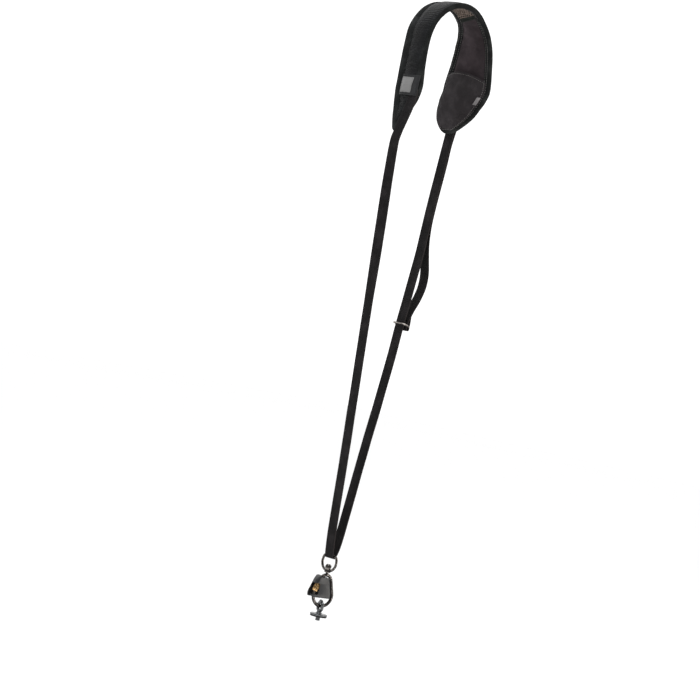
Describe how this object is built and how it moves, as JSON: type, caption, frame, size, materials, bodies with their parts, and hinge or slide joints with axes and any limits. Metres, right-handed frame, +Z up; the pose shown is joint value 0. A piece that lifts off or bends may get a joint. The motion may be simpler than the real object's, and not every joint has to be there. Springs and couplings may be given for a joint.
{
  "type": "camera sling strap",
  "caption": "Worn camera sling strap: padded shoulder arch, long webbing loop with slider, swivel snap hook with a locked gate, and a threaded camera foot.",
  "frame": {"origin": "under the top of the shoulder pad's arch, on its inner face, where the shoulder carries it", "axes": "+Z up, +X from the front strand to the back strand, +Y across the webbing, away from the neck side of the pad's ends"},
  "size_m": [0.1181, 0.0822, 0.7911],
  "materials": {
    "foam": "closed-cell foam, hidden inside",
    "edge_cloth": "woven black nylon with stitched rows",
    "ribbed_cloth": "ribbed bluish black cloth",
    "lining": "brushed brownish grey lining",
    "mesh": "open air mesh",
    "pocket_cloth": "soft pocket cloth, creased",
    "patch": "bare embossed patch, satin",
    "tag": "bare woven tag",
    "webbing": "woven nylon webbing, worn at the edges",
    "dark_metal": "black plated, worn bright at the edges",
    "brass": "polished and scuffed",
    "cover_plastic": "satin grey moulding",
    "steel": "turned stainless steel",
    "rubber": "matte rubber"
  },
  "bodies": {
    "strap": {"pad_core": "foam", "outer_panel": "ribbed_cloth", "front_lining": "lining", "mesh_window": "mesh", "back_lining": "lining", "edge_wrap": "edge_cloth", "pocket": "pocket_cloth", "label_patch": "patch", "side_tag": "tag", "front_strand": "webbing", "back_strand": "webbing", "return_strand": "webbing", "keeper": "dark_metal", "slider": "dark_metal"},
    "ring": {"ring": "dark_metal"},
    "hook": {"hook": "dark_metal", "gate": "dark_metal", "locking_sleeve": "brass", "cover": "cover_plastic"},
    "foot": {"foot": "steel", "rubber_washer": "rubber"}
  },
  "joints": [
    {"name": "ring_swing", "type": "hinge", "parent": "strap", "child": "ring", "pos_m": [0, 0, -0.7027], "axis": [0, 1, 0], "range_deg": [-75, 75]},
    {"name": "hook_swivel", "type": "hinge", "parent": "ring", "child": "hook", "pos_m": [0, 0, -0.7219], "axis": [0, 0, 1], "continuous": true},
    {"name": "foot_swing", "type": "hinge", "parent": "hook", "child": "foot", "pos_m": [0, 0, -0.7673], "axis": [0.9781, -0.2079, 0], "range_deg": [-75, 75]}
  ]
}
